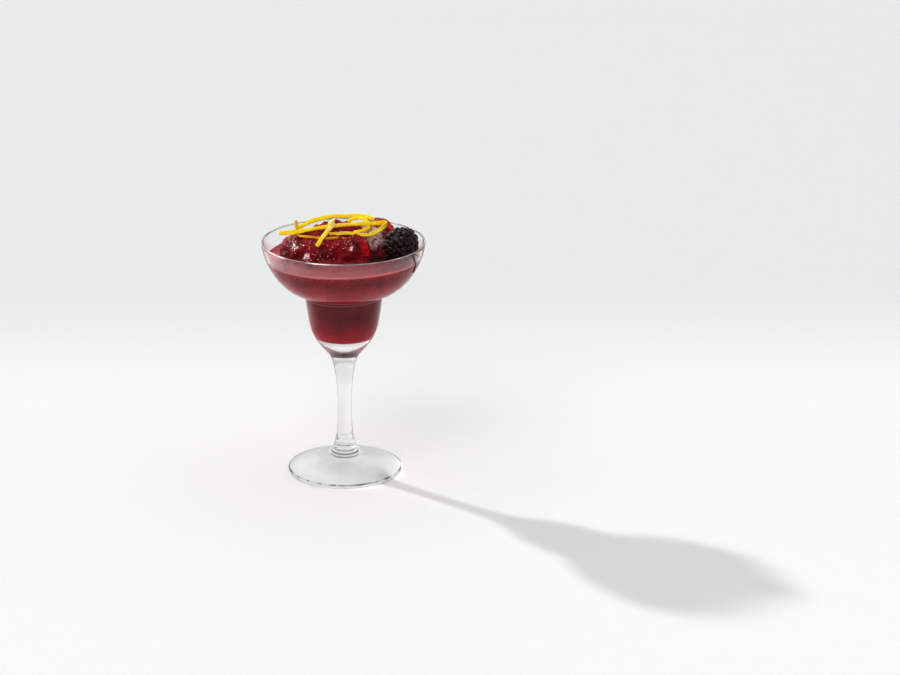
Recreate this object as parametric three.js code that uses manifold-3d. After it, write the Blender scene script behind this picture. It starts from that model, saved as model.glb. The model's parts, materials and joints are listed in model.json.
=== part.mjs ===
// Frozen margarita in its stepped margarita glass, with scoops of slush, a dark berry and lemon zest.
// Millimetres, +Z up. The origin is the middle of the foot's underside, on the surface it stands on.
import * as THREE from 'three';
import { mergeVertices } from 'three/addons/utils/BufferGeometryUtils.js';
import Module from 'manifold-3d';

const wasm = await Module();
wasm.setup();

// Glass, outside
const RIM_RADIUS = 56.5;
const GLASS_HEIGHT = 167.8;
const LIP_WALL = 1.4;
const FOOT_RADIUS = 40;
const FOOT_EDGE = 3.0;
const FOOT_DISH_RADIUS = 30;
const FOOT_DISH_DEPTH = 1.0;
const STEM_RADIUS = 4.85;
const STEM_WAIST_HEIGHT = 47.7;
const COLLAR_HEIGHT = 17.8;
const COLLAR_RADIUS = 8.0;
const CUP_BASE_RADIUS = 11.2;
const CUP_BASE_HEIGHT = 86.9;
const STEP_RADIUS = 28.4;
const STEP_HEIGHT = 131.0;

// Glass, inside
const CUP_FLOOR_HEIGHT = 99.3;
const CUP_MOUTH_RADIUS = 25.0;
const CUP_MOUTH_HEIGHT = 128.6;

// Contents
const LEVEL = 157.0;
const LEVEL_RISE_RIGHT = 0.9;
const LEVEL_RISE_BACK = 0.5;
const GAP = 0.3;
const ROOM = 0.45;
const SINK = 6.0;

// Berry
const BERRY_CENTRE = new THREE.Vector3(39.3, -8, 166.9);
const BERRY_HALF = new THREE.Vector3(10.0, 10.4, 11.2);
const BERRY_TIP = new THREE.Vector3(-0.7, -0.45, -0.55).normalize();
const DRUPELET = 4.9;

// Lemon zest
const ZEST_THICKNESS = 1.0;

const TURN = 36;

// A cubic curve in the (radius, height) half plane, without its first point.
function bend(p0, p1, p2, p3, steps) {
  const curve = new THREE.CubicBezierCurve(
    new THREE.Vector2(...p0), new THREE.Vector2(...p1),
    new THREE.Vector2(...p2), new THREE.Vector2(...p3));
  return curve.getPoints(steps).slice(1);
}

// Points on a circular arc in the half plane, angles in degrees from the outward direction.
function arc(centre, radius, from, to, steps) {
  const points = [];
  for (let i = 0; i <= steps; i += 1) {
    const angle = THREE.MathUtils.degToRad(from + (to - from) * i / steps);
    points.push(new THREE.Vector2(centre[0] + radius * Math.cos(angle),
                                  centre[1] + radius * Math.sin(angle)));
  }
  return points;
}

// Underside of the foot, its round edge and its gently coned top.
function footOutline() {
  const round = FOOT_EDGE / 2;
  return [
    new THREE.Vector2(0, FOOT_DISH_DEPTH),
    new THREE.Vector2(FOOT_DISH_RADIUS * 0.7, FOOT_DISH_DEPTH * 0.6),
    new THREE.Vector2(FOOT_DISH_RADIUS, 0),
    ...arc([FOOT_RADIUS - round, round], round, -90, 75, 4),
    ...bend([FOOT_RADIUS - round, FOOT_EDGE], [26, 5.6], [16, 7.0], [10.6, 10.4], 4),
  ];
}

// Two small rings where the stem is joined to the foot, then the stem up to the cup's thick base.
function stemOutline() {
  const base = [CUP_BASE_RADIUS, CUP_BASE_HEIGHT];
  return [
    new THREE.Vector2(9.7, 12.2),
    new THREE.Vector2(9.5, 13.4),
    new THREE.Vector2(8.5, 13.9),
    new THREE.Vector2(8.6, 15.4),
    new THREE.Vector2(7.8, 16.1),
    new THREE.Vector2(COLLAR_RADIUS, COLLAR_HEIGHT),
    ...bend([COLLAR_RADIUS, COLLAR_HEIGHT], [5.6, 25], [STEM_RADIUS, 32],
            [STEM_RADIUS, STEM_WAIST_HEIGHT], 5),
    ...bend([STEM_RADIUS, STEM_WAIST_HEIGHT], [STEM_RADIUS, 65.9], [7.3, 82.6], base, 6),
  ];
}

// Outside of the lower cup, the tight step under the bowl, and the bowl up to the lip.
function cupOutline() {
  const mouth = [STEP_RADIUS - 1.45, STEP_HEIGHT - 2.6];
  return [
    ...bend([CUP_BASE_RADIUS, CUP_BASE_HEIGHT], [24.6, 101.8], [23.4, 104], mouth, 6),
    ...bend(mouth, [STEP_RADIUS - 1.25, STEP_HEIGHT - 1], [STEP_RADIUS - 0.9, STEP_HEIGHT - 0.15],
            [STEP_RADIUS + 1.2, STEP_HEIGHT + 0.25], 2),
    ...bend([STEP_RADIUS + 1.2, STEP_HEIGHT + 0.25], [42.3, 133.8], [53.95, 149],
            [RIM_RADIUS, GLASS_HEIGHT - LIP_WALL / 2], 8),
  ];
}

// Inside of the bowl and of the lower cup, from the lip down to the axis, moved in by a gap.
function hollowOutline(gap) {
  const inner = [
    ...bend([RIM_RADIUS - LIP_WALL, GLASS_HEIGHT - LIP_WALL / 2], [52.25, 149.4], [41.2, 135.7],
            [STEP_RADIUS + 0.6, STEP_HEIGHT + 2.1], 7),
    ...bend([STEP_RADIUS + 0.6, STEP_HEIGHT + 2.1], [STEP_RADIUS - 2, STEP_HEIGHT + 1.7],
            [CUP_MOUTH_RADIUS + 0.2, STEP_HEIGHT - 0.6], [CUP_MOUTH_RADIUS, CUP_MOUTH_HEIGHT], 2),
    ...bend([CUP_MOUTH_RADIUS, CUP_MOUTH_HEIGHT], [22.5, 108], [21.5, CUP_FLOOR_HEIGHT],
            [0, CUP_FLOOR_HEIGHT], 6),
  ];
  return inner.map((point, i) => {
    if (i === inner.length - 1) {
      return new THREE.Vector2(0, point.y + gap);
    }
    const before = inner[Math.max(i - 1, 0)];
    const along = new THREE.Vector2().subVectors(inner[i + 1], before).normalize();
    return new THREE.Vector2(point.x + along.y * gap, point.y - along.x * gap);
  });
}

// Shared vertices, no empty triangles, and faces that point out.
function closed(geometry) {
  geometry.deleteAttribute('normal');
  geometry.deleteAttribute('uv');
  const merged = mergeVertices(geometry, 1e-4);
  const place = merged.attributes.position;
  const index = merged.index.array;
  const kept = [];
  let volume = 0;
  const [a, b, c] = [new THREE.Vector3(), new THREE.Vector3(), new THREE.Vector3()];
  for (let i = 0; i < index.length; i += 3) {
    const [i0, i1, i2] = [index[i], index[i + 1], index[i + 2]];
    if (i0 !== i1 && i1 !== i2 && i2 !== i0) {
      kept.push(i0, i1, i2);
      a.fromBufferAttribute(place, i0);
      b.fromBufferAttribute(place, i1);
      c.fromBufferAttribute(place, i2);
      volume += a.dot(b.cross(c));
    }
  }
  if (volume < 0) {
    kept.reverse();
  }
  merged.setIndex(kept);
  return merged;
}

function toSolid(geometry) {
  const shape = closed(geometry);
  const mesh = new wasm.Mesh({
    numProp: 3,
    vertProperties: Float32Array.from(shape.attributes.position.array),
    triVerts: Uint32Array.from(shape.index.array),
  });
  return new wasm.Manifold(mesh);
}

function toGeometry(solid) {
  const mesh = solid.getMesh();
  const geometry = new THREE.BufferGeometry();
  geometry.setAttribute('position', new THREE.BufferAttribute(Float32Array.from(mesh.vertProperties), 3));
  geometry.setIndex(Array.from(mesh.triVerts));
  return geometry;
}

function turned(outline) {
  return new THREE.LatheGeometry(outline, TURN).rotateX(Math.PI / 2);
}

// A repeatable random draw from 0 to 1.
function dice(seed) {
  let state = seed;
  return () => {
    state = (state * 1664525 + 1013904223) % 4294967296;
    return state / 4294967296;
  };
}

// Smooth unevenness over a direction: a few waves with seeded directions and phases.
function unevenness(seed, waves, pitch) {
  const draw = dice(seed);
  const list = [];
  for (let i = 0; i < waves; i += 1) {
    const way = new THREE.Vector3(draw() - 0.5, draw() - 0.5, draw() - 0.5).normalize();
    list.push({ way: way.multiplyScalar(pitch * (0.7 + 0.9 * draw())), phase: draw() * Math.PI * 2 });
  }
  return (direction) => list.reduce((sum, wave) => sum + Math.sin(wave.way.dot(direction) + wave.phase), 0)
    / Math.sqrt(waves);
}

// A spooned lump of slush: a boxy ellipsoid with waves, dents and a flat sunk bottom.
function lump(shape, grow) {
  const geometry = new THREE.IcosahedronGeometry(1, shape.detail);
  const place = geometry.attributes.position;
  const wave = unevenness(shape.seed, 9, 7);
  const direction = new THREE.Vector3();
  for (let i = 0; i < place.count; i += 1) {
    direction.fromBufferAttribute(place, i).normalize();
    const sum = Math.abs(direction.x / shape.half[0]) ** shape.power
      + Math.abs(direction.y / shape.half[1]) ** shape.power
      + Math.abs(direction.z / shape.half[2]) ** shape.power;
    let reach = sum ** (-1 / shape.power) + shape.relief * wave(direction);
    const spot = direction.clone().multiplyScalar(reach);
    for (const [x, y, z, radius, depth] of shape.dents) {
      const away = spot.distanceTo(new THREE.Vector3(x, y, z)) / radius;
      reach -= depth * Math.exp(-away * away);
    }
    reach += grow;
    spot.copy(direction).multiplyScalar(reach);
    spot.z = Math.max(spot.z, LEVEL - SINK - grow - shape.centre[2]);
    place.setXYZ(i, spot.x + shape.centre[0], spot.y + shape.centre[1], spot.z + shape.centre[2]);
  }
  return toSolid(geometry);
}

// Several lumps that stick together.
function heap(shapes, grow) {
  return shapes.map((shape) => lump(shape, grow)).reduce((whole, next) => whole.add(next));
}

const FRONT_SCOOPS = [
  { centre: [-12, -14, 159], half: [26, 13, 14.4], power: 4, relief: 0.45, seed: 5, detail: 4,
    dents: [[4, -12, 10, 6, 1.5], [-14, -12, 11, 5, 1.2], [-4, -14, 0, 7, -1.2]] },
  { centre: [9.4, -12, 158.5], half: [7.6, 13, 15.4], power: 3.2, relief: 0.4, seed: 3, detail: 3,
    dents: [[-3, -13, 9, 4, 1.4]] },
  { centre: [-31, -8, 157.5], half: [12.4, 14, 15.2], power: 2.6, relief: 0.5, seed: 17, detail: 3,
    dents: [[-4, -12, 8, 4, 1.6]] },
];
const RIGHT_SCOOPS = [
  { centre: [23, 16, 159.5], half: [12.6, 15.5, 17.2], power: 3, relief: 0.5, seed: 11, detail: 4,
    dents: [[-6, -10, 12, 6, 1.5], [8, -9, 12, 5, 1.2]] },
];
const LEFT_SCOOPS = [
  { centre: [-2.5, 17, 158.5], half: [21.5, 13, 16.6], power: 3.2, relief: 0.5, seed: 23, detail: 4,
    dents: [[2, -6, 16, 6, 1.2]] },
];

// The drink's free surface is a little higher on the right and at the back.
function drinkSolid() {
  const wall = hollowOutline(GAP);
  const first = wall.findIndex((point) => point.y < LEVEL - 1);
  const [above, below] = [wall[first - 1], wall[first]];
  const lean = (above.x - below.x) / (above.y - below.y);
  const brim = below.x + (LEVEL - below.y) * lean;
  const top = [0, 0.45, 0.82, 1].map((share) => new THREE.Vector2(brim * share, LEVEL));
  const geometry = turned([...top, ...wall.slice(first)]);
  const place = geometry.attributes.position;
  const wave = unevenness(31, 6, 0.09);
  const spot = new THREE.Vector3();
  for (let i = 0; i < place.count; i += 1) {
    spot.fromBufferAttribute(place, i);
    if (spot.z > LEVEL - 0.01) {
      const lift = LEVEL_RISE_RIGHT * spot.x / brim + LEVEL_RISE_BACK * spot.y / brim + 0.25 * wave(spot);
      const reach = 1 + lift * lean / brim;
      place.setXYZ(i, spot.x * reach, spot.y * reach, spot.z + lift);
    }
  }
  return toSolid(geometry);
}

// The berry's drupelets stand in rings about its own axis, each ring turned against the last.
function berrySolid() {
  const turn = new THREE.Quaternion().setFromUnitVectors(new THREE.Vector3(0, 0, 1), BERRY_TIP);
  const toPlace = (geometry) => geometry.applyQuaternion(turn)
    .translate(BERRY_CENTRE.x, BERRY_CENTRE.y, BERRY_CENTRE.z);
  const core = new THREE.IcosahedronGeometry(1, 1);
  core.scale(BERRY_HALF.x, BERRY_HALF.y, BERRY_HALF.z);
  let berry = toSolid(toPlace(core));
  const draw = dice(7);
  const rings = Math.round(Math.PI * BERRY_HALF.x / (DRUPELET * 0.88));
  for (let ring = 0; ring < rings; ring += 1) {
    const polar = Math.PI * (ring + 0.45) / rings;
    const count = Math.max(3, Math.round(2 * Math.PI * BERRY_HALF.x * Math.sin(polar) / DRUPELET));
    for (let i = 0; i < count; i += 1) {
      const around = 2 * Math.PI * (i + 0.5 * (ring % 2) + 0.16 * (draw() - 0.5)) / count;
      const bead = new THREE.IcosahedronGeometry(DRUPELET * (0.44 + 0.06 * draw()), 0);
      bead.rotateX(6 * draw());
      bead.rotateZ(6 * draw());
      bead.translate(BERRY_HALF.x * Math.sin(polar) * Math.cos(around),
                     BERRY_HALF.y * Math.sin(polar) * Math.sin(around),
                     BERRY_HALF.z * Math.cos(polar));
      berry = berry.add(toSolid(toPlace(bead)));
    }
  }
  return berry;
}

// The smooth hollow that the berry presses into what it lies on.
function berryBed() {
  const bed = new THREE.IcosahedronGeometry(1, 3);
  const room = DRUPELET * 0.55 + ROOM;
  bed.scale(BERRY_HALF.x + room, BERRY_HALF.y + room, BERRY_HALF.z + room);
  bed.applyQuaternion(new THREE.Quaternion().setFromUnitVectors(new THREE.Vector3(0, 0, 1), BERRY_TIP));
  bed.translate(BERRY_CENTRE.x, BERRY_CENTRE.y, BERRY_CENTRE.z);
  return toSolid(bed);
}

// A strip of peel with a six-sided flat section and narrowed ends.
// Each point of the track is x, y, z and the strip's roll in degrees.
function peel(track, width, steps) {
  const curve = new THREE.CatmullRomCurve3(
    track.map(([x, y, z]) => new THREE.Vector3(x, y, z)), false, 'centripetal');
  const corners = [[0.5, 0], [0.34, 0.5], [-0.34, 0.5], [-0.5, 0], [-0.34, -0.5], [0.34, -0.5]];
  const facing = new THREE.Vector3(0, -0.5, 0.87);
  const vertices = [];
  const triangles = [];
  for (let i = 0; i <= steps; i += 1) {
    const share = i / steps;
    const middle = curve.getPoint(share);
    const along = curve.getTangent(share);
    const knot = share * (track.length - 1);
    const low = Math.min(Math.floor(knot), track.length - 2);
    const roll = THREE.MathUtils.lerp(track[low][3] ?? 0, track[low + 1][3] ?? 0, knot - low);
    const flat = facing.clone().addScaledVector(along, -facing.dot(along)).normalize();
    flat.applyAxisAngle(along, THREE.MathUtils.degToRad(roll));
    const side = new THREE.Vector3().crossVectors(along, flat);
    const taper = Math.min(1, 0.5 + 3 * Math.min(share, 1 - share) * steps / 6);
    for (const [across, up] of corners) {
      const corner = middle.clone().addScaledVector(side, across * width * taper);
      corner.addScaledVector(flat, up * ZEST_THICKNESS);
      vertices.push(...corner.toArray());
    }
  }
  const sides = corners.length;
  for (let i = 0; i < steps; i += 1) {
    for (let j = 0; j < sides; j += 1) {
      const a = i * sides + j;
      const b = i * sides + (j + 1) % sides;
      triangles.push(a, b, a + sides, b, b + sides, a + sides);
    }
  }
  for (let j = 1; j < sides - 1; j += 1) {
    const end = steps * sides;
    triangles.push(0, j + 1, j, end, end + j, end + j + 1);
  }
  const geometry = new THREE.BufferGeometry();
  geometry.setAttribute('position', new THREE.Float32BufferAttribute(vertices, 3));
  geometry.setIndex(triangles);
  return toSolid(geometry);
}

const ZEST = {
  zest_long: {
    width: 3.0, steps: 46,
    track: [[-44, -11, 176.5], [-35, -9, 176.5], [-25.5, -6, 177], [-16, -3, 178], [-5.5, 0, 178.5],
            [4.5, 3, 178.5], [15, 6, 178], [23, 8.5, 177.5, 10], [28.5, 10.5, 177.5, 70],
            [30, 8.5, 177, 90], [27.5, 6, 175.5, 130], [24, 4, 173.5, 180], [19.5, 2.5, 171.5, 180],
            [14.5, 1, 171.5, 180], [8.5, 0, 172.5, 180], [2.5, -1, 173.5, 180], [-3.5, -2, 173.5, 180],
            [-10, -3, 173.5, 180]],
  },
  zest_arch: {
    width: 3.0, steps: 22,
    track: [[-31, 0.5, 175.5], [-30, 1.5, 177], [-26.5, 5, 178], [-21.5, 10, 179], [-15.5, 14, 179.5],
            [-7, 18, 180], [2, 20, 179.5], [9.5, 19.5, 180], [15, 17.5, 180], [18.5, 15, 179.5],
            [21, 13, 178.5]],
  },
  zest_tail: {
    width: 2.0, steps: 20,
    track: [[-32.5, -2, 183], [-32, -3, 180.3], [-31.6, -4.2, 177.5], [-31.2, -5.6, 175],
            [-30, -9.5, 174.3], [-27.5, -13, 174.8], [-24, -15, 175], [-20.5, -16, 174.9],
            [-17.5, -16.5, 174.5], [-13, -17, 174.4], [-8.5, -17, 174.5], [-3.5, -15.5, 174.5]],
  },
  zest_cross: {
    width: 3.0, steps: 18,
    track: [[-18, -27.3, 171.7], [-15, -22, 175.4], [-12, -12, 176.5], [-8.5, -5.5, 179.3],
            [-6.5, -1, 181], [-6.6, 2, 181.4], [-8.5, 4.5, 180], [-10.5, 6, 178]],
  },
  zest_curl: {
    width: 2.4, steps: 18,
    track: [[3, 13, 177.5], [5.5, 14.8, 178.5], [10, 15, 179.5], [14.2, 13, 179.3], [17, 10.2, 177.7],
            [17.5, 6.5, 175.2], [15.5, 5, 174.2], [12, 4.2, 173.4], [7, 3.2, 172.8]],
  },
};

const glassMaterial = new THREE.MeshStandardMaterial({ color: 0xeef1f1, roughness: 0.05, metalness: 0,
  transparent: true, opacity: 0.35 });
const drinkMaterial = new THREE.MeshStandardMaterial({ color: 0x6e1a24, roughness: 0.3, metalness: 0 });
const slushMaterial = new THREE.MeshStandardMaterial({ color: 0x5f0d17, roughness: 0.35, metalness: 0 });
const berryMaterial = new THREE.MeshStandardMaterial({ color: 0x1b0f14, roughness: 0.25, metalness: 0 });
const zestMaterial = new THREE.MeshStandardMaterial({ color: 0xe6c81e, roughness: 0.5, metalness: 0 });

const group = new THREE.Group();

function piece(name, geometry, material) {
  const mesh = new THREE.Mesh(geometry, material);
  mesh.name = name;
  group.add(mesh);
}

const lip = arc([RIM_RADIUS - LIP_WALL / 2, GLASS_HEIGHT - LIP_WALL / 2], LIP_WALL / 2, 36, 144, 3);
const glassOutline = [
  ...footOutline(), ...stemOutline(), ...cupOutline(), ...lip,
  new THREE.Vector2(RIM_RADIUS - LIP_WALL, GLASS_HEIGHT - LIP_WALL / 2), ...hollowOutline(0),
];
piece('glass', closed(turned(glassOutline)), glassMaterial);

const bed = berryBed();
const front = heap(FRONT_SCOOPS, 0);
const frontRoom = heap(FRONT_SCOOPS, ROOM);
const right = heap(RIGHT_SCOOPS, 0).subtract(frontRoom).subtract(bed);
const rightRoom = heap(RIGHT_SCOOPS, ROOM);
const left = heap(LEFT_SCOOPS, 0).subtract(frontRoom).subtract(rightRoom);
const leftRoom = heap(LEFT_SCOOPS, ROOM);
const drink = drinkSolid().subtract(frontRoom).subtract(rightRoom).subtract(leftRoom).subtract(bed);

piece('drink', toGeometry(drink), drinkMaterial);
piece('slush_front', toGeometry(front), slushMaterial);
piece('slush_right', toGeometry(right), slushMaterial);
piece('slush_left', toGeometry(left), slushMaterial);
piece('berry', toGeometry(berrySolid()), berryMaterial);
for (const [name, strip] of Object.entries(ZEST)) {
  piece(name, toGeometry(peel(strip.track, strip.width, strip.steps)), zestMaterial);
}

export default group;
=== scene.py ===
# %% [markdown]
# # A frozen margarita, finished in Blender
# The glass, the drink and what lies on it are already there as plain CAD solids, in metres, with the foot on
# the ground at zero height. This notebook puts a camera and soft light on them and then gives each piece its
# real shape and finish. The CAD model is loaded first because it says where everything is.

# %% Load the CAD frame
import json
import random
from math import cos, exp, pi, radians, sin

import bpy
import numpy as np
from mathutils import Matrix, Quaternion, Vector, noise

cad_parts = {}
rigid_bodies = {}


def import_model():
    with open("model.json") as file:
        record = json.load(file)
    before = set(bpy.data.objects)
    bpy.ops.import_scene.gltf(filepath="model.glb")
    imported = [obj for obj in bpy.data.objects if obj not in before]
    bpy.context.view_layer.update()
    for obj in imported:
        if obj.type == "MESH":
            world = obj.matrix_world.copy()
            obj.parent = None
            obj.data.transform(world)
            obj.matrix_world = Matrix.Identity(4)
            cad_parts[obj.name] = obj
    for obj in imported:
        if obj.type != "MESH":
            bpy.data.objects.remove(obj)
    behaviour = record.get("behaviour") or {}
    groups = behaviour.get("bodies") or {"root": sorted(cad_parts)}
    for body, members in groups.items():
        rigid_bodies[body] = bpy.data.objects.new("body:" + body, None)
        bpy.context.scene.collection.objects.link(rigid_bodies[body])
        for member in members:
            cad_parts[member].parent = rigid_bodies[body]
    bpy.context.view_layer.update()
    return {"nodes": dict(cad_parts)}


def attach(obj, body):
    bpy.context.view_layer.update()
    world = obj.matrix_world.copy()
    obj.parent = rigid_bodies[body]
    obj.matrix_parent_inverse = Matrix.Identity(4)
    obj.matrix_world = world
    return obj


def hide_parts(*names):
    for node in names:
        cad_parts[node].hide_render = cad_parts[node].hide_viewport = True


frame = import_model()
MM = 0.001
print("nodes:", sorted(frame["nodes"]))

# %% [markdown]
# ## The camera
# The drink was seen from a little above, through a long lens. The lens and the three angles were worked out
# from the two ellipses that the rim and the foot make. A camera looks down its own -Z, so the tilt is
# measured from straight down, and the heading turns the whole camera about the vertical.

# %% Camera at the photograph's angle
CAMERA_PLACE = (0, -1.73125, 0.68624)
CAMERA_DOWN = 18.784
CAMERA_HEADING = 2.435
CAMERA_ROLL = 0.315
LENS = 105.14

bpy.ops.object.camera_add(location=CAMERA_PLACE)
camera = bpy.context.object
camera.name = "camera"
turn = (Matrix.Rotation(radians(-CAMERA_HEADING), 3, "Z") @ Matrix.Rotation(radians(90 - CAMERA_DOWN), 3, "X")
        @ Matrix.Rotation(radians(CAMERA_ROLL), 3, "Z"))
camera.rotation_euler = turn.to_euler()
camera.data.sensor_width = 36
camera.data.lens = LENS
camera.data.clip_end = 50
bpy.context.scene.camera = camera
print("camera looks along", [round(x, 3) for x in turn @ Vector((0, 0, -1))])

# %% [markdown]
# ## Finishes made of nodes
# A finish is a small tree of nodes: a pattern is read from the piece's own coordinates, carried from one
# range to another, and mixes two colours for the Principled shader. By hand these are the same few moves in
# the shader editor again and again, so here they are written once, as two short classes. What is the same
# all over a surface is set on the shader's own socket. What changes over it comes from where a point is on
# the piece, and for glass also from how far its surface slants away, as with real gloss.

# %% Adding and joining nodes
class Wiring:
    """Short ways to add nodes to one tree and join them."""

    def __init__(self, tree):
        self.nodes, self.links = tree.nodes, tree.links

    def feed(self, socket, source):
        """Gives an input another node's output, a colour of three numbers, or a plain value."""
        if isinstance(source, bpy.types.NodeSocket):
            self.links.new(source, socket)
        else:
            socket.default_value = (*source, 1) if isinstance(source, tuple) else source

    def add(self, kind, *sources, **values):
        """A node with its first inputs fed in order, and other inputs and settings filled in by name."""
        node = self.nodes.new(kind)
        for key, value in values.items():
            if hasattr(node, key):
                setattr(node, key, value)
            else:
                node.inputs[key.replace("_", " ")].default_value = value
        for socket, source in zip(node.inputs, sources):
            self.feed(socket, source)
        return node

    def spread(self, source, start, end, low=0, high=1, how="LINEAR"):
        """A value carried from the range start to end into the range low to high, and held outside it."""
        return self.add("ShaderNodeMapRange", source, interpolation_type=how, From_Min=start, From_Max=end,
                        To_Min=low, To_Max=high).outputs["Result"]

    def math(self, operation, first, *others):
        """Two or more numbers worked into one."""
        for other in others:
            first = self.add("ShaderNodeMath", first, other, operation=operation).outputs[0]
        return first

    def mixed(self, factor, first, second):
        """One colour turning into another by a factor."""
        mix = self.add("ShaderNodeMix", data_type="RGBA")
        for socket, source in (("Factor", factor), ("A", first), ("B", second)):
            self.feed(mix.inputs[socket], source)
        return mix.outputs["Result"]


# %% A finish and its patterns
class Finish(Wiring):
    """A material with a Principled shader, whose socket names are given with _ for spaces."""

    def __init__(self, name, color, **sockets):
        self.material = bpy.data.materials.new(name)
        self.material.use_nodes = True
        super().__init__(self.material.node_tree)
        self.shader = self.nodes["Principled BSDF"]
        self.give("Base Color", color)
        for socket, value in sockets.items():
            self.shader.inputs[socket.replace("_", " ")].default_value = value
        self.place = self.add("ShaderNodeTexCoord").outputs["Object"]
        self.split = self.add("ShaderNodeSeparateXYZ", self.place)

    def give(self, socket, source):
        """Feeds one of the shader's own sockets."""
        self.feed(self.shader.inputs[socket], source)

    def clouds(self, scale, detail=2, roughness=0.5):
        """A cloudy pattern from 0 to 1, finer with a larger scale."""
        return self.add("ShaderNodeTexNoise", self.place, Scale=scale, Detail=detail,
                        Roughness=roughness).outputs[0]

    def clouded(self, scale, detail, first, second, start=0.35, end=0.65):
        """Two colours in soft patches."""
        return self.mixed(self.spread(self.clouds(scale, detail), start, end), first, second)

    def along(self, axis, start, end, low=0, high=1):
        """A value that changes between two places on an axis, in millimetres."""
        return self.spread(self.split.outputs[axis], start * MM, end * MM, low, high)

    def near(self, spot, inner, outer, share=1):
        """A share round a spot, falling to nothing, with distances in millimetres."""
        gap = self.add("ShaderNodeVectorMath", self.place, [v * MM for v in spot], operation="DISTANCE")
        return self.spread(gap.outputs["Value"], inner * MM, outer * MM, share, 0)

    def banded(self, middle, width, share=1, height=None):
        """A share at one height that falls to nothing over a width, both in millimetres."""
        off = self.math("SUBTRACT", height or self.split.outputs["Z"], middle * MM)
        gap = self.add("ShaderNodeMath", off, operation="ABSOLUTE").outputs[0]
        return self.spread(gap, 0, width * MM, share, 0)

    def bumped(self, height, strength, depth, *sockets):
        """Fine relief on the shader's normal, and on the other normals that are named."""
        bump = self.add("ShaderNodeBump", Strength=strength, Distance=depth * MM)
        self.feed(bump.inputs["Height"], height)
        for socket in ("Normal", *sockets):
            self.give(socket, bump.outputs[0])


# %% [markdown]
# ## Floor and light
# A plain pale floor, bright soft light from all round and one low lamp behind to the left, which gives the
# long shadow. A sun lamp fits, because the shadow's sides stay parallel. The surroundings are darker behind
# the camera, since clear glass is only seen by what it reflects and bends, and a little brighter overhead
# and on the left. A round patch of light in front, high on the left, is there for the wet slush and the
# berry to mirror.

# %% Floor
FLOOR_SIZE = 24
FLOOR_DROP = 0.08
FLOOR_NEAR, FLOOR_FAR = (0.90, 0.90, 0.90), (0.795, 0.805, 0.80)

bpy.ops.mesh.primitive_plane_add(size=FLOOR_SIZE, location=(0, 0, -FLOOR_DROP * MM))
floor = bpy.context.object
floor.name = "floor"
pale_floor = Finish("pale_floor", FLOOR_NEAR, Roughness=0.9, Specular_IOR_Level=0.1)
distance = pale_floor.spread(pale_floor.split.outputs["Y"], 0.12, 0.42, how="SMOOTHSTEP")
pale_floor.give("Base Color", pale_floor.mixed(distance, FLOOR_NEAR, FLOOR_FAR))
floor.data.materials.append(pale_floor.material)
print("the floor is", FLOOR_SIZE, "m wide")

# %% Surroundings
SOFTBOX_WAY = (-0.35, -0.6, 0.72)
SOFTBOX_ANGLE = 20
SOFTBOX_EDGE = 4
SOFTBOX_POWER = 2.1
# Axis, the range over which the light changes along it, and its strength at both ends.
SKY_PARTS = [("Y", -0.75, 0.05, 0.20, 0.66), ("Z", 0.6, 0.95, 0, 0.2), ("X", -0.9, -0.2, 0.25, 0)]

world = bpy.data.worlds.new("studio")
bpy.context.scene.world = world
world.use_nodes = True
sky = Wiring(world.node_tree)
way = sky.add("ShaderNodeTexCoord").outputs["Generated"]
split = sky.add("ShaderNodeSeparateXYZ", way)
parts = [sky.spread(split.outputs[axis], *spans, how="SMOOTHSTEP") for axis, *spans in SKY_PARTS]
softbox = sky.add("ShaderNodeVectorMath", way, Vector(SOFTBOX_WAY).normalized(), operation="DOT_PRODUCT")
edges = [cos(radians(SOFTBOX_ANGLE + change)) for change in (SOFTBOX_EDGE, -SOFTBOX_EDGE)]
parts.append(sky.spread(softbox.outputs["Value"], *edges, 0, SOFTBOX_POWER, how="SMOOTHSTEP"))
background = sky.nodes["Background"]
sky.feed(background.inputs["Strength"], sky.math("ADD", *parts))
sky.feed(background.inputs["Color"], (1, 1, 1))
print("the surroundings have", len(parts), "parts")

# %% The low lamp, and how the picture is shown
LAMP_AZIMUTH = -42
LAMP_HEIGHT_ANGLE = 28.8
LAMP_WIDTH = 2.7
LAMP_POWER = 1.6
CONTRAST = 0.75
BOUNCES = 24

level_part = cos(radians(LAMP_HEIGHT_ANGLE))
way = Vector((cos(radians(LAMP_AZIMUTH)) * level_part, sin(radians(LAMP_AZIMUTH)) * level_part,
              -sin(radians(LAMP_HEIGHT_ANGLE))))
bpy.ops.object.light_add(type="SUN", location=-way)
lamp = bpy.context.object
lamp.name = "low_lamp"
lamp.data.energy = LAMP_POWER
lamp.data.angle = radians(LAMP_WIDTH)
lamp.rotation_euler = way.to_track_quat("-Z", "Y").to_euler()
scene = bpy.context.scene
scene.view_settings.view_transform = "Standard"
scene.view_settings.gamma = CONTRAST
scene.cycles.max_bounces = BOUNCES
scene.cycles.transmission_bounces = BOUNCES
scene.cycles.glossy_bounces = BOUNCES
print("lamp shines along", [round(x, 2) for x in way])

# %% [markdown]
# ## Clear glass
# Real glass bends light, mirrors its surroundings more towards its edges, where it also looks darker, and
# throws a pale shadow. The Principled shader with full transmission does the bending, and Layer Weight says
# where the glass slants away. A renderer can't find a lamp through bent glass, so for shadow rays alone the
# glass is plainly see-through: clearest in the flat foot, and darkest in the round stem, which gathers the
# light into a line. A dark outline is drawn only where the glass holds no drink, since that is where it
# shows.

# %% Glass that darkens towards its outline
FULL_SLANT = 0.98
LINE_CLEARNESS = 0.12
# Two heights in millimetres, and the clearness for shadow rays at both of them or its change between them.
FOOT_CLEARNESS = (4, 12, 0.94, 0.36)
CLEARNESS_CHANGES = [(72, 90, -0.26), (150, 158, 0.60)]
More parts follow.
